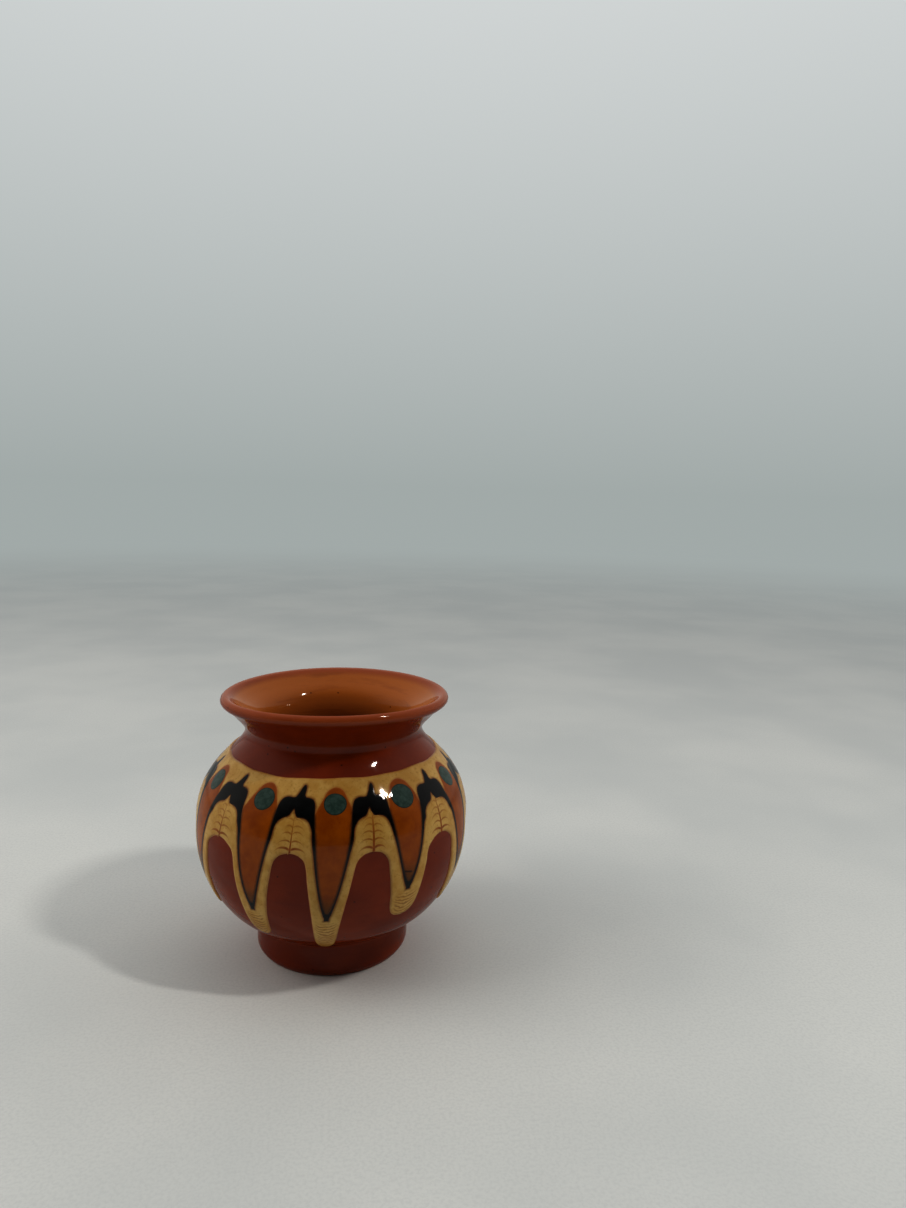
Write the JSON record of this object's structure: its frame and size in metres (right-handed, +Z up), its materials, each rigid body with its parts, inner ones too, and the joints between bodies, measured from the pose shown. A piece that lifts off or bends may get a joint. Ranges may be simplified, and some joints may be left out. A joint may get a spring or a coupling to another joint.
{
  "type": "slip-decorated miniature vase",
  "caption": "Small round-bellied thrown clay pot with a foot, waisted neck and flared lip, glazed over a cream slip collar with feathered drops.",
  "frame": {"origin": "centre of the foot's flat underside", "axes": "+Z up along the pot's axis of revolution; -Y is the front, with the longest slip drop"},
  "size_m": [0.0514, 0.0512, 0.0499],
  "materials": {
    "red_earthenware": "wheel-thrown red clay under a clear gloss glaze, unglazed underneath",
    "cream_slip": "cream slip, poured, under the clear glaze",
    "black_slip": "black slip, let into the wet cream, under the clear glaze",
    "orange_slip": "ochre orange slip, let into the wet cream, under the clear glaze",
    "green_slip": "grey-green slip dot, under the clear glaze",
    "rust_slip": "thin rust-brown slip drawn with a fine point, under the clear glaze"
  },
  "bodies": {
    "root": {"clay_body": "red_earthenware", "cream_slip": "cream_slip", "black_cap_01": "black_slip", "black_cap_02": "black_slip", "black_cap_03": "black_slip", "black_cap_04": "black_slip", "black_cap_05": "black_slip", "black_cap_06": "black_slip", "black_cap_07": "black_slip", "black_cap_08": "black_slip", "black_cap_09": "black_slip", "black_cap_10": "black_slip", "black_cap_11": "black_slip", "orange_tongue_01": "orange_slip", "orange_tongue_02": "orange_slip", "orange_tongue_03": "orange_slip", "orange_tongue_04": "orange_slip", "orange_tongue_05": "orange_slip", "orange_tongue_06": "orange_slip", "orange_tongue_07": "orange_slip", "orange_tongue_08": "orange_slip", "orange_tongue_09": "orange_slip", "orange_tongue_10": "orange_slip", "orange_tongue_11": "orange_slip", "green_dot_01": "green_slip", "green_dot_02": "green_slip", "green_dot_03": "green_slip", "green_dot_04": "green_slip", "green_dot_05": "green_slip", "green_dot_06": "green_slip", "green_dot_07": "green_slip", "green_dot_08": "green_slip", "green_dot_09": "green_slip", "green_dot_10": "green_slip", "green_dot_11": "green_slip", "rust_feather_01": "rust_slip", "rust_feather_02": "rust_slip", "rust_feather_03": "rust_slip", "rust_feather_04": "rust_slip", "rust_feather_05": "rust_slip", "rust_feather_06": "rust_slip", "rust_feather_07": "rust_slip", "rust_feather_08": "rust_slip", "rust_feather_09": "rust_slip", "rust_feather_10": "rust_slip", "rust_feather_11": "rust_slip"}
  },
  "joints": []
}
